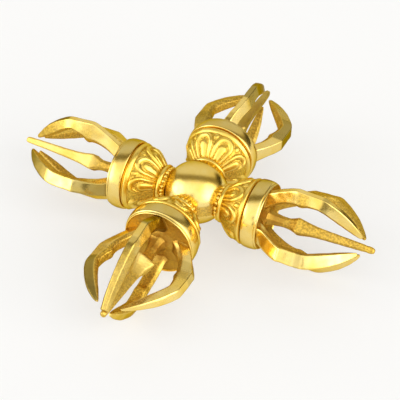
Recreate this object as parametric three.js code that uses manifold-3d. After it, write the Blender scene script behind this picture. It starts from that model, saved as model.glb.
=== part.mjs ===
// A double vajra: four alike five-pronged arms crossed on one ball, cast and gilded brass.
// Millimetres, +Z up. The origin is the centre of the ball and the arms lie along X and Y.
// Each arm is made along its own axis first: "along" is the distance from the centre of the
// ball, and a radius is the distance from the arm's axis.
import * as THREE from 'three';
import { mergeVertices } from 'three/addons/utils/BufferGeometryUtils.js';
import Module from 'manifold-3d';

const wasm = await Module();
wasm.setup();

// Clearances
const fitClearance = 0.15;
const seatClearance = 0.1;
const prongSeatGap = 0.2;

// Ball
const ballRadius = 8.35;
const ballSegments = 24;

// Peg that holds each lotus cup in the ball
const pegRadius = 3.1;
const pegDepth = 3;
const pegSegments = 16;

// Neck ring, a row of beads against the ball and a smooth ring beside it
const beadCount = 22;
const beadRowRadius = 4.3;
const beadRadius = 0.56;
const beadRowLength = 0.95;
const smoothRingRadius = 5.2;
const smoothRingLength = 1.2;

// Lotus cup. The petals stand out from the bell, and their tips close below the rim.
const petalCount = 8;
const stepsPerPetal = 6;
const petalHeight = 0.6;
const petalTipGap = 0.6;
const petalTipRound = 3;
const cupBackRadius = 4.6;
const cupMouthRadius = 8.3;
const cupBelly = 0.75;
const cupRimRadius = 9;
const cupLength = 6.95;
const rimLength = 1.5;

// Collar with the end face that carries the prongs
const collarRadius = 9.35;
const collarLength = 3.3;
const grooveRadius = 8.4;
const grooveWidth = 0.3;
const lipRadius = 8.95;
const lipLength = 0.6;
const recessDepth = 0.4;
const recessRadius = 8.7;
const bossRadius = 3.9;
const bossTopRadius = 2.9;
const bossHeight = 0.6;
const hubRadius = 4;
const hubDepth = 2.6;
const collarSegments = 28;

// Outer prongs. Each is cut to flat faces between a few sections.
const tenonSide = 2.2;
const tenonDepth = 2.2;
const prongRootRadius = 8.35;
const prongRootDepth = 3.9;
const prongRootWidth = 4.4;
const prongWidth = 3.8;
const kneeRadius = 12.8;
const firstKnee = 7.9;
const secondKnee = 15.2;
const rootBow = 0.25;
const nubEnd = 9.5;
const nubHeight = 1.05;
const shankDepth = 3.5;
const prongTip = 25.9;
const prongTipRadius = 3.2;
const prongTipDepth = 1;
const prongTipWidth = 1.2;
const tipBow = 1.3;

// Centre prong, a square spike with a shoulder. Each was set by hand at its own turn, in degrees.
const spikeTurns = { east: 40, north: 5, west: 45, south: 60 };
const centreTenonSide = 2.2;
const neckBase = 2.4;
const neckHalf = 1.25;
const neckAt = 4.6;
const shoulderHalf = 2.05;
const shoulderAt = 7.9;
const spikeHalf = 1.25;
const spikeStart = 12.7;
const spikeTipHalf = 0.78;
const centreProngLength = 28.83;

// Places along the arm that follow from the sizes above
const ringSeat = ballRadius + seatClearance;
const beadEnd = Math.sqrt(ringSeat ** 2 - beadRowRadius ** 2) + beadRowLength;
const neckEnd = beadEnd + smoothRingLength;
const cupStart = neckEnd + seatClearance;
const cupEnd = cupStart + cupLength;
const rimAt = cupEnd - rimLength;
const collarStart = cupEnd + seatClearance;
const collarEnd = collarStart + grooveWidth + collarLength + lipLength;
const faceAt = collarEnd - recessDepth;
const rootAt = faceAt + prongSeatGap;
const centreAt = faceAt + bossHeight + prongSeatGap;
const tenonHeight = prongRootRadius - prongRootDepth / 2;
const socketMouth = Math.sqrt(ballRadius ** 2 - (pegRadius + fitClearance) ** 2);

// Finishes
const gilt = { color: 0xd9ad33, roughness: 0.3, metalness: 1 };
const satinGilt = { color: 0xcda12e, roughness: 0.38, metalness: 1 };
const castGilt = { color: 0xb98d2b, roughness: 0.5, metalness: 1 };

// Turns [radius, along] points about the arm's axis, which is +X here
function turned(points, segments) {
  const profile = points.map(([radius, along]) => new THREE.Vector2(radius, along));
  return new THREE.LatheGeometry(profile, segments).rotateZ(-Math.PI / 2);
}

function toSolid(geometry) {
  const plain = geometry.clone();
  plain.deleteAttribute('normal');
  plain.deleteAttribute('uv');
  const merged = mergeVertices(plain, 1e-4);
  const mesh = new wasm.Mesh({
    numProp: 3,
    vertProperties: new Float32Array(merged.attributes.position.array),
    triVerts: new Uint32Array(merged.index.array),
  });
  return new wasm.Manifold(mesh);
}

function toGeometry(solid) {
  const mesh = solid.getMesh();
  const geometry = new THREE.BufferGeometry();
  geometry.setAttribute('position', new THREE.BufferAttribute(mesh.vertProperties, 3));
  geometry.setIndex(new THREE.BufferAttribute(mesh.triVerts, 1));
  geometry.computeVertexNormals();
  return geometry;
}

// A round bar along the arm's axis between two places
function bar(radius, from, to, segments) {
  return turned([[0, from], [radius, from], [radius, to], [0, to]], segments);
}

// A square bar along +X whose centre line is at a height above the axis
function squareBar(side, from, to, height) {
  const geometry = new THREE.BoxGeometry(to - from, side, side);
  return geometry.translate((from + to) / 2, 0, height);
}

// Moves each vertex of a turned solid away from the axis by relief(angle, along, radius),
// with the angle measured round the arm from straight up
function carved(geometry, relief) {
  const place = geometry.attributes.position;
  for (let i = 0; i < place.count; i += 1) {
    const along = place.getX(i);
    const radius = Math.hypot(place.getY(i), place.getZ(i));
    if (radius > 1e-6) {
      const angle = Math.atan2(place.getY(i), place.getZ(i));
      const scale = (radius + relief(angle, along, radius)) / radius;
      place.setY(i, place.getY(i) * scale);
      place.setZ(i, place.getZ(i) * scale);
    }
  }
  return geometry;
}

// Joins rings of points into one closed skin with flat ends
function loft(rings) {
  const sides = rings[0].length;
  const positions = rings.flat().flatMap((point) => [point.x, point.y, point.z]);
  const faces = [];
  for (let ring = 0; ring < rings.length - 1; ring += 1) {
    for (let side = 0; side < sides; side += 1) {
      const next = (side + 1) % sides;
      const a = ring * sides + side;
      const b = ring * sides + next;
      faces.push(a, b, a + sides, b, b + sides, a + sides);
    }
  }
  const last = (rings.length - 1) * sides;
  for (let side = 1; side < sides - 1; side += 1) {
    faces.push(0, side + 1, side, last, last + side, last + side + 1);
  }
  const geometry = new THREE.BufferGeometry();
  geometry.setAttribute('position', new THREE.Float32BufferAttribute(positions, 3));
  geometry.setIndex(faces);
  geometry.computeVertexNormals();
  return geometry;
}

function centreBall() {
  let ball = toSolid(new THREE.SphereGeometry(ballRadius, ballSegments, ballSegments / 2));
  const socket = bar(pegRadius + fitClearance, socketMouth - pegDepth, ballRadius + 1, pegSegments);
  for (let quarter = 0; quarter < 4; quarter += 1) {
    const turnedSocket = socket.clone().rotateZ(quarter * Math.PI / 2);
    ball = ball.subtract(toSolid(turnedSocket));
  }
  return toGeometry(ball);
}

// The ring's back face follows the ball, and its beads stand out by a wave round the row
function neckRing() {
  const onBall = (radius) => Math.sqrt(ringSeat ** 2 - radius ** 2);
  const bore = pegRadius + fitClearance;
  const beadFoot = beadRowRadius - beadRadius * 0.5;
  const beadTop = beadRowRadius + beadRadius * 0.6;
  const edge = smoothRingLength * 0.2;
  const ring = turned([
    [bore, neckEnd],
    [bore, onBall(bore)],
    [beadFoot, onBall(beadFoot)],
    [beadTop, onBall(beadTop) + edge],
    [beadTop, beadEnd - edge],
    [beadFoot, beadEnd],
    [smoothRingRadius - edge, beadEnd + edge / 2],
    [smoothRingRadius, beadEnd + smoothRingLength / 2],
    [smoothRingRadius - edge, neckEnd],
    [bore, neckEnd],
  ], beadCount * 2);
  return carved(ring, (angle, along, radius) => (
    Math.abs(radius - beadTop) < 1e-3 ? beadRadius * 0.4 * Math.cos(angle * beadCount) : 0
  ));
}

// A petal is a raised outline with a groove and a raised heart inside it. Its distance from
// the heart is 1 on the outline, which runs along the bell and closes round the tip.
function petalRelief(angle, along) {
  const outlineAt = 0.67;
  const turns = angle * petalCount / (2 * Math.PI);
  const across = Math.abs(turns - Math.floor(turns) - 0.5) * 2;
  const roundFrom = rimAt - petalTipGap - petalTipRound;
  const beyond = Math.max(0, along - roundFrom) / petalTipRound;
  const distance = Math.hypot(across / outlineAt, beyond);
  const heart = 0.75 * Math.max(0, 1 - distance / 0.5);
  const outline = Math.max(0, 1 - Math.abs(distance - 1) / 0.5);
  const sides = THREE.MathUtils.smoothstep(Math.abs(Math.cos(angle)), 0.12, 0.26);
  return petalHeight * Math.max(heart, outline) * sides;
}

function lotusCup() {
  const bellAt = (part) => {
    const along = cupStart + (rimAt - cupStart) * part;
    const straight = cupBackRadius + (cupMouthRadius - cupBackRadius) * part;
    return [straight + cupBelly * Math.sin(Math.PI * part), along];
  };
  const bell = [0.06, 0.36, 0.58, 0.74, 0.88, 0.99].map(bellAt);
  const shell = turned([
    [0, cupStart],
    [cupBackRadius, cupStart],
    ...bell,
    [cupRimRadius - 0.25, rimAt + rimLength * 0.25],
    [cupRimRadius, cupEnd - rimLength * 0.3],
    [grooveRadius, cupEnd],
    [0, cupEnd],
  ], petalCount * stepsPerPetal);
  const cup = toSolid(carved(shell, (angle, along) => (
    along > cupStart + 0.01 && along < rimAt ? petalRelief(angle, along) : 0
  )));
  const pegEnd = socketMouth - pegDepth + seatClearance;
  const peg = toSolid(bar(pegRadius, pegEnd, cupStart + 1, pegSegments));
  const hubBore = bar(hubRadius + fitClearance, cupEnd - hubDepth - seatClearance, cupEnd + 1, pegSegments);
  return toGeometry(cup.add(peg).subtract(toSolid(hubBore)));
}

function collar() {
  const bandStart = collarStart + grooveWidth;
  const bandEnd = bandStart + collarLength;
  const disc = turned([
    [0, collarStart],
    [grooveRadius, collarStart],
    [grooveRadius, bandStart],
    [collarRadius - 0.2, bandStart + 0.1],
    [collarRadius, bandStart + collarLength * 0.3],
    [collarRadius - 0.05, bandStart + collarLength * 0.75],
    [lipRadius, bandEnd],
    [lipRadius, collarEnd - 0.1],
    [recessRadius, collarEnd],
    [recessRadius - 0.1, faceAt],
    [bossRadius, faceAt],
    [bossTopRadius, faceAt + bossHeight],
    [0, faceAt + bossHeight],
  ], collarSegments);
  const hub = bar(hubRadius, collarStart + seatClearance - hubDepth, collarStart + 1, pegSegments);
  let body = toSolid(disc).add(toSolid(hub));
  const socketSide = tenonSide + 2 * fitClearance;
  const socketFloor = rootAt - tenonDepth - seatClearance;
  const prongSocket = squareBar(socketSide, socketFloor, rootAt + 1, tenonHeight);
  for (let quarter = 0; quarter < 4; quarter += 1) {
    const socket = prongSocket.clone().rotateX(quarter * Math.PI / 2);
    body = body.subtract(toSolid(socket));
  }
  const centreSide = centreTenonSide + 2 * fitClearance;
  const centreSocket = squareBar(centreSide, centreAt - tenonDepth - seatClearance, centreAt + 1, 0);
  return toGeometry(body.subtract(toSolid(centreSocket)));
}

// One section of an outer prong: a flat outer face between two ridges, broad sides and a
// narrower inner face. It hangs from its outer point towards the axis, leaning along the arm.
function prongSection({ along, radius, depth, lean, width }) {
  const tilt = THREE.MathUtils.degToRad(lean);
  const at = (part, side) => new THREE.Vector3(
    rootAt + along + depth * part * Math.sin(tilt),
    side * width / 2,
    radius - depth * part * Math.cos(tilt),
  );
  const half = [at(0, 0.6), at(0, -0.6), at(0.24, -0.92), at(0.6, -1), at(1, -0.54)];
  return [...half, at(1, 0.54), at(0.6, 1), at(0.24, 0.92)];
}

// A curve between two [along, radius] points that bows outwards by a given height
function bowed([fromAlong, fromRadius], [toAlong, toRadius], bow) {
  const from = new THREE.Vector2(fromAlong, fromRadius);
  const to = new THREE.Vector2(toAlong, toRadius);
  const run = to.clone().sub(from).normalize();
  const outwards = new THREE.Vector2(-run.y, run.x).multiplyScalar(2 * bow);
  const control = from.clone().add(to).multiplyScalar(0.5).add(outwards);
  const curve = new THREE.QuadraticBezierCurve(from, control, to);
  return (part) => ({ along: curve.getPoint(part).x, radius: curve.getPoint(part).y });
}

function outerProng() {
  const onRoot = bowed([0, prongRootRadius], [firstKnee, kneeRadius], rootBow);
  const onTip = bowed([secondKnee, kneeRadius], [prongTip, prongTipRadius], tipBow);
  const between = (from, to, part) => from + (to - from) * part;
  const nubDepth = shankDepth + nubHeight;
  const tip = (part, lean) => ({
    ...onTip(part),
    depth: between(shankDepth, prongTipDepth, part ** 3.5),
    width: between(prongWidth, prongTipWidth, part ** 2.2),
    lean,
  });
  const sections = [
    { ...onRoot(0), depth: prongRootDepth, lean: 0, width: prongRootWidth },
    { ...onRoot(0.5), depth: shankDepth, lean: 14, width: prongWidth },
    { ...onRoot(1), depth: nubDepth, lean: 10, width: prongWidth },
    { along: nubEnd, radius: kneeRadius, depth: nubDepth, lean: 3, width: prongWidth },
    { along: nubEnd + 1.5, radius: kneeRadius, depth: shankDepth, lean: 0, width: prongWidth },
    tip(0, -22),
    tip(0.25, -32),
    tip(0.5, -30),
    tip(0.75, -33),
    tip(1, -35),
  ];
  const tenon = squareBar(tenonSide, rootAt - tenonDepth, rootAt + 0.5, tenonHeight);
  return toGeometry(toSolid(loft(sections.map(prongSection))).add(toSolid(tenon)));
}

// A square section with bevelled corners, standing across the arm's axis
function squareSection(along, half, bevelShare) {
  const flat = half * (1 - bevelShare);
  const corners = [[half, flat], [flat, half], [-flat, half], [-half, flat]];
  const ring = [...corners, ...corners.map(([y, z]) => [-y, -z])];
  return ring.map(([y, z]) => new THREE.Vector3(centreAt + along, y, z));
}

// The spike is turned about the arm's axis, and its tenon is not
function centreProng(turn) {
  const shape = [
    [0, neckBase, 0.4],
    [neckAt * 0.4, (neckBase + neckHalf) / 2 - 0.15, 0.4],
    [neckAt, neckHalf, 0.4],
    [shoulderAt - 0.9, neckHalf + 0.2, 0.4],
    [shoulderAt, shoulderHalf, 0.2],
    [shoulderAt + 0.7, shoulderHalf, 0.2],
    [(shoulderAt + spikeStart) / 2 + 0.7, (shoulderHalf + spikeHalf) / 2 - 0.1, 0.25],
    [spikeStart, spikeHalf, 0.3],
    [centreProngLength - 0.9, spikeTipHalf, 0.4],
    [centreProngLength - 0.3, spikeTipHalf * 0.8, 0.4],
    [centreProngLength, spikeTipHalf * 0.45, 0.4],
  ];
  const spike = loft(shape.map((section) => squareSection(...section)));
  spike.rotateX(THREE.MathUtils.degToRad(turn));
  const tenon = squareBar(centreTenonSide, centreAt - tenonDepth, centreAt + 0.5, 0);
  return toGeometry(toSolid(spike).add(toSolid(tenon)));
}

function piece(name, geometry, finish) {
  const mesh = new THREE.Mesh(geometry, new THREE.MeshStandardMaterial(finish));
  mesh.name = name;
  return mesh;
}

// The four arms are alike but for their spikes, so each other shape is made once
const shapes = {
  neckRing: neckRing(),
  lotusCup: lotusCup(),
  collar: collar(),
  outerProng: outerProng(),
};

// One arm along +X: its head and its five prongs
function arm(name) {
  const group = new THREE.Group();
  group.add(piece(`${name}_neck_ring`, shapes.neckRing, satinGilt));
  group.add(piece(`${name}_lotus_cup`, shapes.lotusCup, satinGilt));
  group.add(piece(`${name}_collar`, shapes.collar, gilt));
  group.add(piece(`${name}_centre_prong`, centreProng(spikeTurns[name]), castGilt));
  ['up', 'left', 'down', 'right'].forEach((way, quarter) => {
    const prong = piece(`${name}_prong_${way}`, shapes.outerProng, gilt);
    prong.rotation.x = -quarter * Math.PI / 2;
    group.add(prong);
  });
  return group;
}

const doubleVajra = new THREE.Group();
doubleVajra.add(piece('centre_ball', centreBall(), gilt));
['east', 'north', 'west', 'south'].forEach((name, quarter) => {
  const oneArm = arm(name);
  oneArm.rotation.z = quarter * Math.PI / 2;
  doubleVajra.add(oneArm);
});

export default doubleVajra;
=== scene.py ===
# A gilt double vajra lying flat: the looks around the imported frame. Metres, +Z up.
# Each arm is made along its own axis first, in millimetres: x is the distance from the centre
# of the ball, z is up, and a radius is the distance from the arm's axis.
from math import atan2, cos, hypot, pi, radians, sin, sqrt

import bmesh
import bpy
from mathutils import Matrix, Vector, noise


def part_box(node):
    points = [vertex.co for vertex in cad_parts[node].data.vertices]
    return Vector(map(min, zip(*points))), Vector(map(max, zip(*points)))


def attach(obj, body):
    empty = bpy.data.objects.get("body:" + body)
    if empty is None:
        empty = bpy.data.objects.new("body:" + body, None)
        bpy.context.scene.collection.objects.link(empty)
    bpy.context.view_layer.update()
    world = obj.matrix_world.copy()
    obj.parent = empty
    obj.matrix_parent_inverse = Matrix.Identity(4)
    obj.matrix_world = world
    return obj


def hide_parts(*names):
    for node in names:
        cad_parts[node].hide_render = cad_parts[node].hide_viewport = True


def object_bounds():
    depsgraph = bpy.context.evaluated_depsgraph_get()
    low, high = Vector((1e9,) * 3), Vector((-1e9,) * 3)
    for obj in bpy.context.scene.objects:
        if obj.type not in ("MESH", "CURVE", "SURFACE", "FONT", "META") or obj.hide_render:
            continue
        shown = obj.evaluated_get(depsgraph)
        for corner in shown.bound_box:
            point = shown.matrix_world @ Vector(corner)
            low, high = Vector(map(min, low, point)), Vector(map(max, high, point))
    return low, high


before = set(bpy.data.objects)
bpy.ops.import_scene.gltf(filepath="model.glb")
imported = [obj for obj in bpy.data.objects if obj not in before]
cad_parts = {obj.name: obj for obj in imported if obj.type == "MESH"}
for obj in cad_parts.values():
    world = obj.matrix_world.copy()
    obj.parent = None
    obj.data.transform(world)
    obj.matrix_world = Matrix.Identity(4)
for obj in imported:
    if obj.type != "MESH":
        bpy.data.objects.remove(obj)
cad_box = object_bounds()

MM = 0.001
FLOOR_Z = cad_box[0][2]
ARMS = ("east", "north", "west", "south")
WAYS = ("up", "left", "down", "right")

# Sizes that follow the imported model, read from its nodes
BALL_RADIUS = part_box("centre_ball")[1][2] / MM
RING_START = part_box("east_neck_ring")[0][0] / MM
CUP_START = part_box("east_neck_ring")[1][0] / MM + 0.1
CUP_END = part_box("east_lotus_cup")[1][0] / MM
COLLAR_START = CUP_END + 0.1
COLLAR_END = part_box("east_collar")[1][0] / MM
COLLAR_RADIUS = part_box("east_collar")[1][2] / MM
FACE_AT = COLLAR_END - 0.4
BOSS_HEIGHT = 0.6
SPIKE_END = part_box("east_centre_prong")[1][0] / MM
KNEE_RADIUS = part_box("east_prong_up")[1][2] / MM
PRONG_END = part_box("east_prong_up")[1][0] / MM

# Camera, fitted to the arm tips and the ball of the photograph
CAMERA_AZIMUTH = 23.90
CAMERA_ELEVATION = 40.59
CAMERA_DISTANCE = 351.7 * MM
CAMERA_ROLL = 1.94
CAMERA_SHIFT_RIGHT = 1.69 * MM
CAMERA_SHIFT_UP = -1.85 * MM
FOCAL_PIXELS = 1351.9
FRAME_PIXELS = 400
SENSOR_MM = 36.0


def new_material(name):
    material = bpy.data.materials.new(name)
    material.use_nodes = True
    nodes = material.node_tree.nodes
    return material, nodes, material.node_tree.links, nodes["Principled BSDF"]


def add_node(nodes, kind, **inputs):
    node = nodes.new(kind)
    for key, value in inputs.items():
        node.inputs[key.replace("_", " ")].default_value = value
    return node


def blend(nodes, links, share, low, high):
    """Mixes two colours, or one that is already mixed with another, by a share from 0 to 1."""
    mix = nodes.new("ShaderNodeMixRGB")
    links.new(share, mix.inputs["Fac"])
    for socket, colour in ((mix.inputs["Color1"], low), (mix.inputs["Color2"], high)):
        if isinstance(colour, tuple):
            socket.default_value = (*colour, 1)
        else:
            links.new(colour, socket)
    return mix.outputs["Color"]


def ramp(nodes, links, value, start, end, low, high):
    """Turns a value between start and end into one between low and high."""
    node = nodes.new("ShaderNodeMapRange")
    links.new(value, node.inputs["Value"])
    node.inputs["From Min"].default_value = start
    node.inputs["From Max"].default_value = end
    node.inputs["To Min"].default_value = low
    node.inputs["To Max"].default_value = high
    return node.outputs["Result"]


# Colours of raw and brazed metal, the dark colour that paints in dark reflection and shade on prongs and
# collar tops and is also laid all over one spike, and the tint of all of it at grazing angles
AMBER = (0.82, 0.54, 0.07)
UMBER = (0.45, 0.26, 0.03)
COPPER = (0.5, 0.28, 0.045)
PAINTED_DARK = (0.3, 0.22, 0.055)
EDGE_TINT = (0.5, 0.38, 0.14)
WHITE = (1.0, 1.0, 1.0)

# The grain of the metal: textures per metre, and its height in metres
PATCH_SCALE = 220.0
BLOT_SCALE = 650.0
GRAIN_HEIGHT = 0.0001

# Raw metal: how much of its colour shows, how dull it is at least and at most, and how grainy
RAW_COLOUR = 0.95
RAW_DULLNESS = (0.4, 0.56)
RAW_GRAIN = 0.8


def gilt(name, light, deep, roughness, grain, bump):
    """Gilt brass: two golds in soft patches, duller where it is left raw, coppery where it is brazed, and
    darkened where it is marked dark, as painted dark reflection on prongs and collar tops.
    """
    material, nodes, links, shader = new_material(name)
    place = nodes.new("ShaderNodeTexCoord")
    patches = add_node(nodes, "ShaderNodeTexNoise", Scale=PATCH_SCALE, Detail=4.0)
    fine = add_node(nodes, "ShaderNodeTexNoise", Scale=grain, Detail=6.0)
    blots = add_node(nodes, "ShaderNodeTexNoise", Scale=BLOT_SCALE, Detail=3.0)
    for texture in (patches, fine, blots):
        links.new(place.outputs["Object"], texture.inputs["Vector"])
    marks = {}
    for mark in ("raw", "braze", "painted_dark"):
        marks[mark] = nodes.new("ShaderNodeAttribute")
        marks[mark].attribute_name = mark
    raw = marks["raw"].outputs["Fac"]
    spotted = ramp(nodes, links, blots.outputs["Fac"], 0.35, 0.65, 0.55, 1.0)
    copper = nodes.new("ShaderNodeMath")
    copper.operation = "MULTIPLY"
    links.new(marks["braze"].outputs["Fac"], copper.inputs[0])
    links.new(spotted, copper.inputs[1])
    gold = blend(nodes, links, ramp(nodes, links, patches.outputs["Fac"], 0.35, 0.65, 0.0, 1.0), deep, light)
    grains = blend(nodes, links, ramp(nodes, links, fine.outputs["Fac"], 0.4, 0.6, 0.0, 1.0), UMBER, AMBER)
    gold = blend(nodes, links, ramp(nodes, links, raw, 0.0, 1.0, 0.0, RAW_COLOUR), gold, grains)
    gold = blend(nodes, links, copper.outputs[0], gold, COPPER)
    # Painted shade: lays the dark colour where the surface is marked dark, in place of dark reflections
    gold = blend(nodes, links, marks["painted_dark"].outputs["Fac"], gold, PAINTED_DARK)
    links.new(gold, shader.inputs["Base Color"])
    plain = ramp(nodes, links, fine.outputs["Fac"], 0.0, 1.0, roughness - 0.06, roughness + 0.1)
    dull = ramp(nodes, links, fine.outputs["Fac"], 0.0, 1.0, *RAW_DULLNESS)
    rough = nodes.new("ShaderNodeMix")
    links.new(raw, rough.inputs["Factor"])
    links.new(plain, rough.inputs[2])
    links.new(dull, rough.inputs[3])
    links.new(rough.outputs[0], shader.inputs["Roughness"])
    relief = add_node(nodes, "ShaderNodeBump", Distance=GRAIN_HEIGHT)
    links.new(ramp(nodes, links, raw, 0.0, 1.0, bump, RAW_GRAIN), relief.inputs["Strength"])
    links.new(fine.outputs["Fac"], relief.inputs["Height"])
    links.new(relief.outputs["Normal"], shader.inputs["Normal"])
    shader.inputs["Metallic"].default_value = 1.0
    shader.inputs["Specular Tint"].default_value = (*EDGE_TINT, 1)
    return material


# Each finish has its light and deep gold, roughness, grain per metre and bump
POLISHED = gilt("polished_gilt", (0.96, 0.74, 0.26), (0.93, 0.65, 0.14), 0.17, 2300.0, 0.1)
CAST = gilt("cast_gilt", (0.95, 0.7, 0.17), (0.9, 0.61, 0.09), 0.28, 2200.0, 0.3)
ROUGH = gilt("rough_gilt", (0.95, 0.73, 0.24), (0.88, 0.62, 0.14), 0.45, 2000.0, 0.8)
FINISH = {"polished_gilt": POLISHED, "cast_gilt": CAST, "rough_gilt": ROUGH}

# How each arm, filed and set by hand, differs: the turn and tilt of its head in degrees, the girth
# of the head, and how far its neck ring is moved out
SETTING = {
    "east": (1.2, -0.9, 0.98, 0.3),
    "north": (1.0, 0.8, 1.045, -0.2),
    "west": (0.7, -0.9, 1.015, -0.5),
    "south": (0.2, -1.1, 1.035, 0.3),
}


def step_down(value, start, end):
    """1 up to a start, falling smoothly to 0 at an end."""
    t = min(1.0, max(0.0, (end - value) / (end - start)))
    return t * t * (3 - 2 * t)


def settle(mesh, arm, end):
    """Turns and tilts the head of an arm a little. The change fades out towards an end."""
    turn, tilt, girth, _ = SETTING[arm]
    for vertex in mesh.vertices:
        share = step_down(vertex.co.x, COLLAR_END, end)
        wide = 1 + (girth - 1) * share * (1 - step_down(vertex.co.x, RING_START, CUP_START + 2))
        vertex.co.y = vertex.co.y * wide + vertex.co.x * radians(turn) * share
        vertex.co.z = vertex.co.z * wide + vertex.co.x * radians(tilt) * share


def roughen(mesh, height, scale, seed):
    """Moves the surface in and out a little, as filing by hand leaves it."""
    normals = [vertex.normal.copy() for vertex in mesh.vertices]
    for vertex, normal in zip(mesh.vertices, normals):
        vertex.co += normal * height * noise.noise(vertex.co * scale + Vector((0, 0, 11 * seed)))
    mesh.update()


def mark(mesh, name, rule):
    """Stores a value from 0 to 1 on each point, for the finish: rule(position, normal)."""
    layer = mesh.attributes.new(name, "FLOAT", "POINT")
    for vertex in mesh.vertices:
        layer.data[vertex.index].value = rule(vertex.co, vertex.normal)


def add_piece(name, mesh, turn, slot, node):
    """Puts a mesh made along +X in millimetres on its arm, in the place of its node."""
    mesh.transform(Matrix.Scale(MM, 4) @ turn)
    piece = bpy.data.objects.new(name, mesh)
    bpy.context.collection.objects.link(piece)
    piece.data.materials.append(FINISH[slot])
    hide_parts(node)
    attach(piece, "root")
    return piece


def skin(name, rings, capped=True):
    """Joins rings of points into one closed mesh. A ring may be a single point on the axis."""
    mesh = bpy.data.meshes.new(name)
    work = bmesh.new()
    rows = [[work.verts.new(point) for point in ring] for ring in rings]
    for row, following in zip(rows, rows[1:]):
        count = max(len(row), len(following))
        for i in range(count):
            k = (i + 1) % count
            if len(row) == 1:
                work.faces.new((row[0], following[k], following[i]))
            elif len(following) == 1:
                work.faces.new((row[i], row[k], following[0]))
            else:
                work.faces.new((row[i], row[k], following[k], following[i]))
    if capped:
        work.faces.new(list(reversed(rows[0])))
        work.faces.new(rows[-1])
    bmesh.ops.recalc_face_normals(work, faces=work.faces)
    for face in work.faces:
        face.smooth = True
    work.to_mesh(mesh)
    work.free()
    return mesh


def turned(name, profile, steps, relief=None):
    """Turns [radius, along] points about +X; relief(angle, along, radius) moves the surface."""
    rings = []
    for radius, along in profile:
        if radius == 0:
            rings.append([(along, 0, 0)])
            continue
        ring = []
        for step in range(steps):
            angle = 2 * pi * step / steps
            reach = radius + (relief(angle, along, radius) if relief else 0)
            ring.append((along, reach * sin(angle), reach * cos(angle)))
        rings.append(ring)
    return skin(name, rings, capped=False)


def smooth_path(points, steps):
    """Rounds a profile: a Catmull-Rom curve through its points."""
    path = []
    last = len(points) - 1
    for i in range(last):
        p0, p1, p2, p3 = (points[max(0, min(last, i + k))] for k in (-1, 0, 1, 2))
        for step in range(steps):
            t = step / steps
            path.append(tuple(
                0.5 * (2 * b + (c - a) * t + (2 * a - 5 * b + 4 * c - d) * t * t
                       + (3 * b - a - 3 * c + d) * t ** 3)
                for a, b, c, d in zip(p0, p1, p2, p3)))
    path.append(points[last])
    return path


# Points in each ring of a cage, and how often it is subdivided
CAGE_SIDES = 8
CAGE_LEVELS = 3


def rounded(mesh, ridge, across):
    """Subdivides a cage of rings, keeping its long ridges fairly crisp, and the rings named in across."""
    work = bmesh.new()
    work.from_mesh(mesh)
    layer = work.edges.layers.float.get("crease_edge") or work.edges.layers.float.new("crease_edge")
    for edge in work.edges:
        first, second = sorted(vertex.index // CAGE_SIDES for vertex in edge.verts)
        edge[layer] = ridge if first != second else across.get(first, 0.0)
    work.to_mesh(mesh)
    work.free()
    holder = bpy.data.objects.new("holder", mesh)
    bpy.context.collection.objects.link(holder)
    modifier = holder.modifiers.new("subdivision", "SUBSURF")
    modifier.levels = CAGE_LEVELS
    modifier.render_levels = CAGE_LEVELS
    final = bpy.data.meshes.new_from_object(holder.evaluated_get(bpy.context.evaluated_depsgraph_get()))
    bpy.data.objects.remove(holder)
    for face in final.polygons:
        face.use_smooth = True
    return final


# Set a little off the middle, and left rough in a belt between the arms, whose half width is a share of
# the radius
BALL_OFFSET = (0.7, 0.25, 0.4)
BALL_STEPS = 96
BELT = 0.2
BELT_EDGE = 0.015
BELT_DEPTH = 0.12
BELT_STREAKS = 0.05
BELT_RAW = 0.75


def in_belt(along):
    return step_down(abs(along) / BALL_RADIUS, BELT - BELT_EDGE, BELT + BELT_EDGE)


def centre_ball():
    angles = [pi * i / BALL_STEPS for i in range(BALL_STEPS + 1)]
    profile = [(BALL_RADIUS * sin(angle), -BALL_RADIUS * cos(angle)) for angle in angles]
    profile[0] = (0, -BALL_RADIUS)
    profile[-1] = (0, BALL_RADIUS)
    mesh = turned("centre_ball_polished", profile, 2 * BALL_STEPS)
    for vertex in mesh.vertices:
        angle = atan2(vertex.co.y, vertex.co.z)
        streak = BELT_STREAKS * noise.noise(Vector((8 * angle, 0.3 * vertex.co.x, 4.0)))
        scale = 1 + (streak - BELT_DEPTH) * in_belt(vertex.co.x) / BALL_RADIUS
        vertex.co.y *= scale
        vertex.co.z *= scale
    mark(mesh, "raw", lambda co, normal: BELT_RAW * in_belt(co.x))
    place = Matrix.Translation(BALL_OFFSET) @ Matrix.Rotation(-pi / 2, 4, "Y")
    add_piece("centre_ball_polished", mesh, place, "polished_gilt", "centre_ball")


# Neck ring
BEAD_COUNT = 22
BEAD_RADIUS = 0.56
BEAD_ROW_RADIUS = 4.35
BEAD_ROW_AT = RING_START + 0.5
SMOOTH_RING_RADIUS = 5.2
SMOOTH_RING_AT = CUP_START - 0.7
SMOOTH_RING_DEPTH = 0.55
SMOOTH_RING_HALF = 0.6
RING_BORE = 3.25
RING_BACK_RADIUS = 4.5


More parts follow.
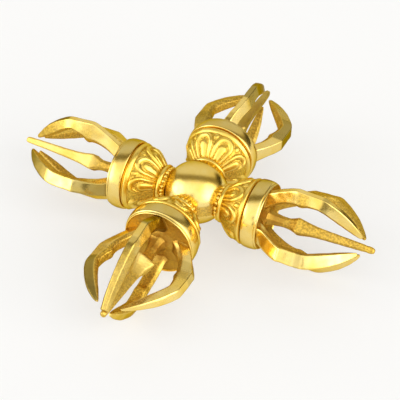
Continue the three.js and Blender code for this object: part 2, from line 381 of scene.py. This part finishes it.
def neck_ring(name, turn):
    """A row of beads against the ball and a smooth half-round ring beside it."""
    moved = SETTING[name][3]
    start, at, half = RING_START - 0.6, SMOOTH_RING_AT + moved, SMOOTH_RING_HALF
    end = max(CUP_START - 0.1, at + half) + 0.1
    profile = [(RING_BORE, start), (BEAD_ROW_RADIUS - 0.15, start), (BEAD_ROW_RADIUS - 0.15, at - half)]
    for i in range(13):
        angle = pi * i / 12
        radius = SMOOTH_RING_RADIUS - SMOOTH_RING_DEPTH + SMOOTH_RING_DEPTH * sin(angle)
        profile.append((radius, at - half * cos(angle)))
    profile += [(RING_BACK_RADIUS, at + half), (RING_BACK_RADIUS, end), (RING_BORE, end), profile[0]]
    mesh = turned("ring", profile, 128)
    work = bmesh.new()
    work.from_mesh(mesh)
    bmesh.ops.remove_doubles(work, verts=work.verts, dist=1e-5)
    for i in range(BEAD_COUNT):
        angle = 2 * pi * (i + 0.5 + 0.12 * sin(5 * i + turn[0][0])) / BEAD_COUNT
        size = BEAD_RADIUS * (1 + 0.08 * sin(3 * i + 1 + 2 * turn[0][1]))
        across = BEAD_ROW_RADIUS * sin(angle), BEAD_ROW_RADIUS * cos(angle)
        place = Matrix.Translation((BEAD_ROW_AT + moved, *across))
        bmesh.ops.create_uvsphere(work, u_segments=20, v_segments=12, radius=size, matrix=place)
    for face in work.faces:
        face.smooth = True
    work.to_mesh(mesh)
    work.free()
    add_piece(f"{name}_beaded_ring", mesh, turn, "cast_gilt", f"{name}_neck_ring")


# Lotus cup. The petals are thick rounded outlines with a domed heart, and end below a smooth rim.
PETALS = 8
PETAL_LIFT = 0.6
CUP_BACK_RADIUS = 4.6
CUP_MOUTH_RADIUS = 8.3
CUP_BELLY = 0.75
CUP_RIM_RADIUS = 9.0
RIM_START = CUP_END - 1.5
PETAL_TIP = RIM_START - 0.6
PETAL_ROUND = 3.0
CUP_STEPS = 72
GROOVE_RAW = 0.85

# Across a petal as shares of its half width: the middle and half thickness of the outline, and the half
# widths of the heart and of the small tip between two petals. Along it in millimetres.
OUTLINE_AT = 0.72
OUTLINE_HALF = 0.26
HEART_WIDE = 0.4
HEART_START = 3.0
HEART_ROUND = 1.5
HEART_LIFT = 0.85
SMALL_TIP_WIDE = 0.2
SMALL_TIP_LONG = 0.9
SMALL_TIP_LIFT = 0.5


def wire(distance, centre, width):
    """The height, up to 1, of a round wire whose middle is at a distance."""
    t = min(1.0, abs(distance - centre) / width)
    return sqrt(1 - t * t)


def petal_relief(angle, along):
    """Raised outline, groove and raised heart of each petal, with small tips between them."""
    turns = angle / (2 * pi / PETALS)
    across = abs(turns - int(turns) - 0.5) * 2
    arch = max(0.0, along - PETAL_TIP + PETAL_ROUND) / PETAL_ROUND
    dome = max(0.0, along - PETAL_TIP + HEART_START) / HEART_ROUND
    outline = wire(hypot(across / OUTLINE_AT, arch), 1.0, OUTLINE_HALF)
    heart = HEART_LIFT * wire(hypot(across / HEART_WIDE, dome), 0.0, 1.0)
    from_tip = hypot((1 - across) / SMALL_TIP_WIDE, (along - PETAL_TIP) / SMALL_TIP_LONG)
    small = SMALL_TIP_LIFT * wire(from_tip, 0.0, 1.0)
    plain_seam = min(1.0, max(0.0, (abs(cos(angle)) - 0.12) / 0.14))
    return PETAL_LIFT * max(heart, outline, small) * plain_seam


def lotus_cup(name, turn, seed):
    back = CUP_START - 0.3
    profile = [(0, back + 0.3), (3.3, back + 0.3), (3.4, back), (CUP_BACK_RADIUS - 0.2, back)]
    for i in range(CUP_STEPS + 1):
        part = i / CUP_STEPS
        straight = CUP_BACK_RADIUS + (CUP_MOUTH_RADIUS - CUP_BACK_RADIUS) * part
        along = CUP_START + 0.05 + (RIM_START - CUP_START) * part
        profile.append((straight + CUP_BELLY * sin(pi * part), along))
    rim = [(8.25, RIM_START + 0.1), (8.55, RIM_START + 0.22), (8.8, RIM_START + 0.55),
           (CUP_RIM_RADIUS, CUP_END - 0.55), (8.95, CUP_END - 0.25), (8.7, CUP_END - 0.05)]
    profile += smooth_path(rim, 5) + [(8.4, CUP_END), (0, CUP_END)]

    def off_bell(along):
        return along < CUP_START + 0.04 or along > RIM_START + 0.08

    def relief(angle, along, radius):
        if off_bell(along):
            return 0
        spot = Vector((along, radius * sin(angle), radius * cos(angle) + seed * 20))
        lift = petal_relief(angle, along)
        ground = 0.07 * max(0.0, 1 - lift / 0.15) * noise.noise(spot * 1.7)
        return lift + ground + 0.05 * noise.noise(spot * 0.9)

    mesh = turned(f"{name}_lotus", profile, 384, relief)

    def groove(co, normal):
        if off_bell(co.x):
            return 0
        return GROOVE_RAW * step_down(petal_relief(atan2(co.y, co.z) % (2 * pi), co.x), 0.02, 0.4)

    mark(mesh, "raw", groove)
    settle(mesh, name, COLLAR_END + 1)
    add_piece(f"{name}_lotus_petals", mesh, turn, "cast_gilt", f"{name}_lotus_cup")


def bump_at(distance, centre, width):
    """A smooth hill of height 1 at a distance, gone past its width on either side."""
    t = min(1.0, abs(distance - centre) / width)
    return (1 - t * t) ** 2


# The radii between which the brazed end face of a collar gives way to its lip, the height of the webs
# on it, and how dark its top is painted, as painted reflection of the dark above it
FACE_EDGE = (8.45, 8.65)
WEB_HEIGHT = 0.3
WEB_HALF = 1.6
COLLAR_TOP_PAINTED_SHADE = 0.35


def collar(name, turn):
    """A smooth rounded band with a thin lip, and a rough coppery end face with low webs."""
    start = COLLAR_START + 0.3
    end = COLLAR_END - 0.6
    boss = FACE_AT + BOSS_HEIGHT
    band = [(8.4, start), (9.05, start + 0.02), (9.25, start + 0.35), (COLLAR_RADIUS, start + 1.1),
            (COLLAR_RADIUS, start + 2.3), (9.2, end - 0.25), (9.02, end)]
    lip = [(8.93, end + 0.04), (8.97, end + 0.25), (8.9, COLLAR_END - 0.1), (8.75, COLLAR_END),
           (8.62, COLLAR_END - 0.1)]
    dish = [(8.5, FACE_AT + 0.02), (8.0, FACE_AT), (7.0, FACE_AT - 0.02), (6.0, FACE_AT),
            (5.0, FACE_AT + 0.05), (4.0, FACE_AT + 0.2), (3.0, FACE_AT + 0.5), (2.2, boss), (1.2, boss)]
    profile = [(0, COLLAR_START), (8.3, COLLAR_START), (8.4, COLLAR_START + 0.05)]
    profile += smooth_path(band, 5) + smooth_path(lip, 4) + smooth_path(dish, 5) + [(0, boss)]
    mesh = turned(f"{name}_collar_band", profile, 160)
    for vertex in mesh.vertices:
        x, y, z = vertex.co
        inside = step_down(hypot(y, z), 7.6, 8.5)
        if x > FACE_AT - 0.1 and inside > 0:
            crossing = max(bump_at(y, 0, WEB_HALF), bump_at(z, 0, WEB_HALF))
            web = WEB_HEIGHT * crossing * step_down(hypot(y, z), 5, 8)
            uneven = 0.1 * noise.noise(Vector((x, y * 0.9, z * 0.9 + 10 * turn[0][0])))
            vertex.co.x += inside * (web + uneven)

    def brazed(co, normal):
        return step_down(hypot(co.y, co.z), *FACE_EDGE) if co.x > FACE_AT - 0.15 else 0

    mark(mesh, "braze", brazed)
    mark(mesh, "raw", brazed)
    # Painted reflection: the top of the band, facing up, is painted darker for the dark above it
    mark(mesh, "painted_dark", lambda co, normal: COLLAR_TOP_PAINTED_SHADE * (1 - step_down(normal.z, 0.6, 0.95)))
    settle(mesh, name, COLLAR_END + 1)
    add_piece(f"{name}_collar_band", mesh, turn, "polished_gilt", f"{name}_collar")


# Outer prongs: places along the arm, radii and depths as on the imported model
ROOT_AT = COLLAR_END - 0.2
ROOT_RADIUS = 8.4
FIRST_KNEE = ROOT_AT + 7.9
SECOND_KNEE = ROOT_AT + 15.2
TIP_RADIUS = 3.2
PRONG_WIDTH = 3.8
SHANK_DEPTH = 3.5

# How each prong is bent by hand, in mm: outwards at its first knee, at its second knee and at its
# tip, and sideways between the knees
BENDS = {
    ("east", "up"): (0.1, -0.3, 0.0, -1.1),
    ("east", "left"): (0.5, 1.0, 0.3, -1.2),
    ("east", "down"): (0.0, 0.0, 0.0, 0.0),
    ("east", "right"): (0.9, 0.3, 0.0, 0.0),
    ("north", "up"): (-1.3, -1.3, 0.0, -1.0),
    ("north", "left"): (0.4, 0.3, 0.0, 0.0),
    ("north", "down"): (0.0, -0.3, 0.0, 0.2),
    ("north", "right"): (0.1, 0.2, -0.9, 0.0),
    ("west", "up"): (0.0, -0.6, -0.6, 0.0),
    ("west", "left"): (0.6, -0.2, 0.3, 0.0),
    ("west", "down"): (0.0, 0.0, 0.0, 0.0),
    ("west", "right"): (0.6, 0.7, 0.0, 0.0),
    ("south", "up"): (0.2, -0.6, -1.8, 0.5),
    ("south", "left"): (1.0, 0.5, 0.0, 0.0),
    ("south", "down"): (-0.3, -0.5, 0.0, 0.0),
    ("south", "right"): (-0.5, -0.4, 0.5, 0.0),
}


def bowed(start, end, bow, part):
    run = Vector(end) - Vector(start)
    run.normalize()
    control = (Vector(start) + Vector(end)) / 2 + Vector((-run.y, run.x)) * 2 * bow
    return Vector(start) * (1 - part) ** 2 + control * 2 * part * (1 - part) + Vector(end) * part ** 2


def bent(along, bend):
    """How far a prong is bent outwards and sideways at a place along it."""
    first, second, tip, sideways = bend
    stops = [(ROOT_AT, 0.0, 0.0), (FIRST_KNEE, first, sideways), (SECOND_KNEE, second, sideways),
             (PRONG_END, tip, 0.0)]
    for (start, *low), (end, *high) in zip(stops, stops[1:]):
        if along <= end:
            part = max(0.0, (along - start) / (end - start))
            return [a + (b - a) * part for a, b in zip(low, high)]
    return stops[-1][1:]


# Where a section is widest, as a share of its depth, and how broad its inner face is, as a share of its
# width
WIDEST_AT = 0.7
INNER_FACE = 0.62


def prong_section(place, depth, lean, width, face, twist, bend):
    """A narrow outer face, two broad sloping sides that are widest near the inner face, and that face."""
    tilt = radians(lean)
    out, sway = bent(place[0], bend)

    def at(part, side):
        inwards, aside = depth * (part - 0.5), side * width / 2
        inwards, aside = aside * sin(twist) + inwards * cos(twist), aside * cos(twist) - inwards * sin(twist)
        inwards += depth / 2
        return place[0] + inwards * sin(tilt), aside + sway, place[1] + out - inwards * cos(tilt)

    middle = (face + 1) / 2
    half = [at(0, -face), at(WIDEST_AT / 2, -middle), at(WIDEST_AT, -1), at(1, -INNER_FACE)]
    return [at(0, face)] + half + [at(1, INNER_FACE), at(WIDEST_AT, 1), at(WIDEST_AT / 2, middle)]


# How crisp the ridges of each arm's prongs are left, from 0 to 1
RIDGE = {"east": 0.5, "north": 0.7, "west": 0.75, "south": 0.4}

# How broad the outer face of a prong is filed, as a share of its width
PLAIN_FACE = 0.36
BROAD_FACE = {
    ("west", "left"): 0.9,
    ("east", "right"): 0.95,
    ("south", "up"): 0.45,
    ("south", "left"): 0.62,
    ("north", "right"): 0.85,
}

# How raw the broad sides, the tip and the stretch behind the first knee of a prong are left, from 0 to 1,
# where the darker raw colour of the tips also stands in as painted shade.
# The inner face and the root are always left raw.
INSIDE_RAW = 0.9
PLAIN_SIDES = 0.06
ROUGH_SIDES = {
    ("east", "left"): 0.9,
    ("east", "up"): 0.1,
    ("north", "left"): 0.7,
    ("north", "up"): 0.1,
    ("south", "right"): 0.4,
    ("south", "up"): 0.2,
}
# Raw tips: grainy and dull, and their darker colour also paints in the shadowed floor they reflect
RAW_TIPS_AND_PAINTED_SHADE = {
    ("west", "up"): 0.8,
    ("west", "left"): 0.6,
    ("west", "down"): 0.7,
    ("west", "right"): 0.6,
    ("south", "up"): 0.6,
    ("north", "right"): 0.3,
}
PLAIN_KNEE = 0.25
RAW_KNEE = {("east", "up"): 0.7}

# Stretches of prongs painted dark as painted reflection of dark surroundings and shade: from and to
# along the arm, the least share of the outward direction that a darkened side has (-1 for all sides),
# and how dark they are
PAINTED_DARK_REFLECTIONS = {
    ("north", "up"): [(FIRST_KNEE + 1.5, PRONG_END + 1, 0.1, 0.75)],
    ("north", "right"): [
        (FIRST_KNEE + 0.2, SECOND_KNEE + 2, -0.1, 0.75),
        (SECOND_KNEE, PRONG_END + 1, -0.1, 0.4),
    ],
    ("north", "left"): [(ROOT_AT + 5, FIRST_KNEE + 3, -1.0, 0.4)],
    ("west", "up"): [
        (SECOND_KNEE + 0.3, PRONG_END + 1, 0.8, 0.85),
        (SECOND_KNEE + 0.5, PRONG_END + 1, -1.0, 0.15),
    ],
    ("west", "left"): [(ROOT_AT, FIRST_KNEE, 0.45, 0.7), (SECOND_KNEE + 1.5, PRONG_END + 1, 0.4, 0.85)],
    ("east", "up"): [(SECOND_KNEE - 0.4, SECOND_KNEE + 1.2, -1.0, 0.5)],
    ("east", "right"): [
        (SECOND_KNEE - 2.6, SECOND_KNEE - 1.0, -1.0, 0.4),
        (PRONG_END - 3, PRONG_END + 1, -1.0, 0.2),
    ],
    ("south", "left"): [(FIRST_KNEE - 3, FIRST_KNEE + 3, -1.0, 0.3)],
    ("south", "right"): [(SECOND_KNEE - 2.5, PRONG_END + 1, 0.05, 0.8)],
    ("south", "up"): [
        (ROOT_AT, FIRST_KNEE + 0.6, -1.0, 0.75),
        (SECOND_KNEE - 2, PRONG_END + 4, -1.0, 0.35),
    ],
}

# Prongs twisted about their own run: by how many degrees, and from where on all of it
TWIST = {
    ("west", "left"): (-34, FIRST_KNEE),
    ("east", "right"): (34, ROOT_AT + 1.5),
    ("south", "left"): (-18, FIRST_KNEE),
}

# Sections of a prong, with the depth, the lean in degrees and the width: at the collar by place and
# radius, then by share of the way to the first knee, then by distance from that knee, and last by share
# of the way to the tip, where the depth and width run out to those of the end
COLLAR_SECTIONS = [
    ((FACE_AT - 0.1, ROOT_RADIUS + 0.1), 5.0, 0, 5.6),
    ((FACE_AT + 0.25, ROOT_RADIUS + 0.05), 4.7, 0, 5.0),
]
ROOT_SECTIONS = [(0.1, 4.0, 5, 4.4), (0.3, 3.6, 10, 4.0), (0.6, 3.5, 14, 3.8), (0.93, 4.1, 12, 3.8)]
SHANK_SECTIONS = [(0.3, 4.5, 8), (1.6, 4.6, 3), (3.0, 3.8, 0), (4.6, 3.45, -3), (6.0, 3.4, -9)]
TIP_SECTIONS = [(0, -22), (0.1, -29), (0.28, -32), (0.5, -30), (0.7, -32), (0.86, -34), (0.96, -35), (1, -35)]
ROOT_BOW = 0.25
TIP_BOW = 1.2
END_SIZE = (0.7, 0.7)

# One prong is longer and blunter than the others, and another has a deep first knee
LONG_PRONG = ("south", "up")
LONG_PRONG_EXTRA = 3.0
LONG_PRONG_END = (1.3, 2.2)
DEEP_PRONG = ("west", "up")

# How crisp the rings at the root, at the first knee and at the tip are left, from 0 to 1
ROOT_CREASE = 1.0
KNEE_CREASE = 0.75
TIP_CREASE = 0.3
KNEE_RING = len(COLLAR_SECTIONS) + len(ROOT_SECTIONS)

# Unevenness left by the file: height in millimetres and waves per millimetre
PRONG_WAVES = (0.06, 0.55)
SPIKE_WAVES = (0.05, 0.8)


def prong_spans(prong):
    """The sections of a prong from the collar to the tip: place and radius, depth, lean and width."""
    is_long = prong == LONG_PRONG
    root, knee, second = (ROOT_AT, ROOT_RADIUS), (FIRST_KNEE, KNEE_RADIUS), (SECOND_KNEE, KNEE_RADIUS)
    tip = (PRONG_END + (LONG_PRONG_EXTRA if is_long else 0), TIP_RADIUS)
    end_depth, end_width = LONG_PRONG_END if is_long else END_SIZE
    spans = list(COLLAR_SECTIONS)
    for part, depth, lean, width in ROOT_SECTIONS:
        spans.append((bowed(root, knee, ROOT_BOW, part), depth, lean, width))
    for beyond, depth, lean in SHANK_SECTIONS:
        spans.append(((FIRST_KNEE + beyond, KNEE_RADIUS), depth, lean, PRONG_WIDTH))
    for part, lean in TIP_SECTIONS:
        depth = SHANK_DEPTH + (end_depth - SHANK_DEPTH) * part ** 3
        width = PRONG_WIDTH + (end_width - PRONG_WIDTH) * part ** 2.4
        spans.append((bowed(second, tip, TIP_BOW, part), depth, lean, width))
    if prong == DEEP_PRONG:
        spans = [(place, depth * deepened(place[0]), lean, width) for place, depth, lean, width in spans]
    return spans


def deepened(along):
    """The share by which the prong with the deep first knee is deeper than the others at a place."""
    return 1 + 0.35 * bump_at(along, FIRST_KNEE, 7) - 0.2 * bump_at(along, SECOND_KNEE + 1, 5)


def mark_prong(mesh, prong):
    sides, knee_raw = ROUGH_SIDES.get(prong, PLAIN_SIDES), RAW_KNEE.get(prong, PLAIN_KNEE)
    tip_raw = RAW_TIPS_AND_PAINTED_SHADE.get(prong, 0)

    def raw(co, normal):
        outwards = normal.z + 0.6 * abs(normal.x)
        patch = step_down(abs(co.x - FIRST_KNEE - 2), 0.5, 2.5) * knee_raw
        side = (sides + patch) * step_down(outwards, 0.5, 0.85)
        inside = (INSIDE_RAW - sides) * step_down(outwards, -0.5, 0.1)
        root = INSIDE_RAW * step_down(co.x, ROOT_AT, ROOT_AT + 0.8)
        tip = tip_raw * (1 - step_down(co.x, SECOND_KNEE, SECOND_KNEE + 2))
        return max(root, tip, min(1, side + inside))

    # Painted dark reflection: dark patches on stretches and sides of the prong
    def painted_reflection(co, normal):
        level = 0
        for first, last, outer, dark in PAINTED_DARK_REFLECTIONS.get(prong, []):
            along = (1 - step_down(co.x, first - 0.4, first + 0.4)) * step_down(co.x, last - 0.4, last + 0.4)
            level = max(level, dark * along * (1 - step_down(normal.z, outer - 0.15, outer)))
        return level

    mark(mesh, "raw", raw)
    mark(mesh, "painted_dark", painted_reflection)
    mark(mesh, "braze", lambda co, normal: step_down(co.x + 0.8 * normal.z, ROOT_AT - 0.4, ROOT_AT + 1.4))


def outer_prong(arm, way, turn, bend):
    prong = (arm, way)
    face = BROAD_FACE.get(prong, PLAIN_FACE)
    twist, whole = TWIST.get(prong, (0, FIRST_KNEE))
    rings = []
    for span in prong_spans(prong):
        twisted = radians(twist) * (1 - step_down(span[0][0], FACE_AT, whole))
        rings.append(prong_section(*span, face, twisted, bend))
    cage = skin(f"{arm}_prong_{way}_polished", rings)
    mesh = rounded(cage, RIDGE[arm], {0: ROOT_CREASE, KNEE_RING: KNEE_CREASE, len(rings) - 1: TIP_CREASE})
    roughen(mesh, *PRONG_WAVES, 7 * ARMS.index(arm) + WAYS.index(way))
    mark_prong(mesh, prong)
    way_turn = Matrix.Rotation(-pi / 2 * WAYS.index(way), 4, "X")
    mesh.transform(way_turn)
    settle(mesh, arm, FIRST_KNEE)
    add_piece(f"{arm}_prong_{way}_polished", mesh, turn, "polished_gilt", f"{arm}_prong_{way}")


# The turn of each spike about its arm, in degrees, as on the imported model
SPIKE_TURN = {"east": 40, "north": 5, "west": 45, "south": 60}

# How raw each spike is left beyond its shoulder and towards its tip, and how far it is darkened all over,
# from 0 to 1
SPIKE_RAW = {"east": 0.85, "north": 0.4, "west": 0.1, "south": 0.0}
SPIKE_TIP_RAW = {"south": 0.7}
SPIKE_DARKENING = {"north": 0.45}

# How crisp the long edges of a spike are left, and its rings at the foot and at the shoulder
SPIKE_RIDGE = 0.7
SPIKE_CREASES = {0: 1.0, 7: 0.7, 8: 0.5}


def centre_prong(arm, turn):
    start = FACE_AT + BOSS_HEIGHT
    tip = SPIKE_END - start
    # Distance from the foot, half of the width across the flats, and the share of it that is bevelled off
    shape = [(-0.3, 2.7, 0.6), (0.4, 2.1, 0.6), (1.2, 1.75, 0.6), (2.6, 1.45, 0.55), (4.6, 1.3, 0.5),
             (6.2, 1.4, 0.4), (7.3, 1.8, 0.25), (7.9, 2.05, 0.16), (8.5, 2.05, 0.16), (10.6, 1.68, 0.2),
             (12.9, 1.33, 0.25), (18.8, 1.1, 0.28), (24.8, 0.92, 0.3), (tip - 1.1, 0.84, 0.4),
             (tip - 0.4, 0.72, 0.45), (tip, 0.42, 0.5)]
    if arm == "south":
        # A heavier shoulder
        shape[7:11] = [(7.9, 2.45, 0.12), (8.3, 2.45, 0.12), (10.1, 1.8, 0.18), (12.2, 1.25, 0.25)]
    if arm == "east":
        # A bead at the tip
        shape[12:13] = [(tip - 2.6, 0.9, 0.35), (tip - 2.2, 0.72, 0.4), (tip - 1.8, 0.88, 0.4)]
    rings = []
    for along, half, bevel in shape:
        flat = half * (1 - bevel)
        corners = [(half, flat), (flat, half), (-flat, half), (-half, flat)]
        corners += [(-y, -z) for y, z in corners]
        rings.append([(start + along, y, z) for y, z in corners])
    mesh = rounded(skin(f"{arm}_centre_spike", rings), SPIKE_RIDGE, SPIKE_CREASES)
    mesh.transform(Matrix.Rotation(radians(SPIKE_TURN[arm]), 4, "X"))
    roughen(mesh, *SPIKE_WAVES, ARMS.index(arm))
    mark(mesh, "braze", lambda co, normal: step_down(co.x, start + 2.0, start + 6.5))
    middle_raw = SPIKE_RAW[arm]
    tip_raw = max(middle_raw, SPIKE_TIP_RAW.get(arm, 0))

    def raw(co, normal):
        level = middle_raw + (INSIDE_RAW - middle_raw) * step_down(co.x, start + 5, start + 9)
        return tip_raw + (level - tip_raw) * step_down(co.x, start + 12.5, start + 13.5)

    mark(mesh, "raw", raw)
    mark(mesh, "painted_dark", lambda co, normal: SPIKE_DARKENING.get(arm, 0))
    settle(mesh, arm, SPIKE_END)
    add_piece(f"{arm}_centre_spike", mesh, turn, "rough_gilt", f"{arm}_centre_prong")


def build_arms():
    for quarter, name in enumerate(ARMS):
        turn = Matrix.Rotation(pi / 2 * quarter, 4, "Z")
        neck_ring(name, turn)
        lotus_cup(name, turn, quarter)
        collar(name, turn)
        centre_prong(name, turn)
        for way in WAYS:
            outer_prong(name, way, turn, BENDS[name, way])


def place_camera():
    azimuth, elevation, roll = radians(CAMERA_AZIMUTH), radians(CAMERA_ELEVATION), radians(CAMERA_ROLL)
    back = Vector((sin(azimuth) * cos(elevation), -cos(azimuth) * cos(elevation), sin(elevation)))
    right = Vector((cos(azimuth), sin(azimuth), 0))
    up = back.cross(right)
    turned_right = cos(roll) * right + sin(roll) * up
    turned_up = -sin(roll) * right + cos(roll) * up
    place = back * CAMERA_DISTANCE + turned_right * CAMERA_SHIFT_RIGHT + turned_up * CAMERA_SHIFT_UP
    data = bpy.data.cameras.new("camera")
    data.sensor_width = SENSOR_MM
    data.lens = FOCAL_PIXELS / FRAME_PIXELS * SENSOR_MM
    data.clip_start = 0.01
    camera = bpy.data.objects.new("camera", data)
    turn = Matrix((turned_right, turned_up, back)).transposed().to_4x4()
    camera.matrix_world = Matrix.Translation(place) @ turn
    bpy.context.collection.objects.link(camera)
    bpy.context.scene.camera = camera


# Light tent: what is beyond its patches, and the patches, each laid over those before it. A patch has
# its direction round the object (azimuth from the camera and elevation from the floor), the angles up to
# which it is full and beyond which it is gone, all in degrees, and its brightness.
GAP = 0.25
TENT = (
    # The far wall, and the near side with the floor
    ((176, 29), 42, 55, 0.8),
    ((-4, -29), 98, 118, 1.35),
    # Dark gaps: to the left and the right, a darker corner behind the right one, and by the camera
    ((-102, 4), 4, 16, GAP),
    ((102, 4), 4, 16, GAP),
    ((124, 7), 7, 22, 0.05),
    ((-6, 0), 8, 16, GAP),
    ((-17, 24), 3, 10, GAP + 0.4),
    # Soft boxes
    ((-80, 12), 8, 36, 3.6),
    ((54, 25), 8, 36, 3.6),
)

# The levels between which the tint of the tent goes from warm to white
TINT_LEVELS = (0.3, 0.9)
WARM = (1.0, 0.86, 0.45)


def direction(azimuth, elevation):
    a, e = radians(CAMERA_AZIMUTH + azimuth), radians(elevation)
    return Vector((sin(a) * cos(e), -cos(a) * cos(e), sin(e)))


def glow(nodes, links, towards, inner, outer):
    """1 within an angle of a direction, falling smoothly to 0 at a wider one."""
    place = nodes.new("ShaderNodeTexCoord")
    dot = nodes.new("ShaderNodeVectorMath")
    dot.operation = "DOT_PRODUCT"
    dot.inputs[1].default_value = towards
    spread = nodes.new("ShaderNodeMapRange")
    spread.interpolation_type = "SMOOTHSTEP"
    spread.inputs["From Min"].default_value = cos(radians(outer))
    spread.inputs["From Max"].default_value = cos(radians(inner))
    links.new(place.outputs["Generated"], dot.inputs[0])
    links.new(dot.outputs["Value"], spread.inputs["Value"])
    return spread.outputs["Result"]


def layered(nodes, links, below, share, level):
    """Lays a brightness over what is below it, by a share from 0 to 1."""
    mix = nodes.new("ShaderNodeMix")
    mix.data_type = "FLOAT"
    links.new(share, mix.inputs["Factor"])
    if isinstance(below, float):
        mix.inputs[2].default_value = below
    else:
        links.new(below, mix.inputs[2])
    mix.inputs[3].default_value = level
    return mix.outputs[0]


def light_tent():
    world = bpy.data.worlds.new("light_tent")
    world.use_nodes = True
    bpy.context.scene.world = world
    nodes, links = world.node_tree.nodes, world.node_tree.links
    level = GAP
    for place, inner, outer, brightness in TENT:
        level = layered(nodes, links, level, glow(nodes, links, direction(*place), inner, outer), brightness)
    links.new(level, nodes["Background"].inputs["Strength"])
    tint = blend(nodes, links, ramp(nodes, links, level, *TINT_LEVELS, 0.0, 1.0), WARM, WHITE)
    links.new(tint, nodes["Background"].inputs["Color"])


# The floor: half its size in metres, its grey, and how much of its white is its own where it is seen, so
# that the object's shadow on it stays soft
FLOOR_HALF = 4.0
FLOOR_GREY = 0.8
FLOOR_GLOW = 0.55


def paper_floor():
    mesh = bpy.data.meshes.new("floor")
    corners = [(x * FLOOR_HALF, y * FLOOR_HALF, FLOOR_Z) for x, y in ((-1, -1), (1, -1), (1, 1), (-1, 1))]
    mesh.from_pydata(corners, [], [(0, 1, 2, 3)])
    floor = bpy.data.objects.new("floor", mesh)
    bpy.context.collection.objects.link(floor)
    material, nodes, links, shader = new_material("white_paper")
    shader.inputs["Base Color"].default_value = (FLOOR_GREY, FLOOR_GREY, FLOOR_GREY, 1)
    shader.inputs["Roughness"].default_value = 1.0
    shader.inputs["Specular IOR Level"].default_value = 0.0
    white = add_node(nodes, "ShaderNodeEmission", Strength=1.0)
    rays = nodes.new("ShaderNodeLightPath")
    seen = rays.outputs["Is Camera Ray"]
    for kind in ("Is Glossy Ray", "Is Transmission Ray"):
        either = nodes.new("ShaderNodeMath")
        either.operation = "MAXIMUM"
        links.new(seen, either.inputs[0])
        links.new(rays.outputs[kind], either.inputs[1])
        seen = either.outputs[0]
    mix = nodes.new("ShaderNodeMixShader")
    links.new(layered(nodes, links, 0.0, seen, FLOOR_GLOW), mix.inputs["Fac"])
    links.new(shader.outputs[0], mix.inputs[1])
    links.new(white.outputs[0], mix.inputs[2])
    links.new(mix.outputs[0], nodes["Material Output"].inputs["Surface"])
    floor.data.materials.append(material)


centre_ball()
build_arms()
place_camera()
light_tent()
paper_floor()

bpy.context.scene.view_settings.view_transform = "Standard"
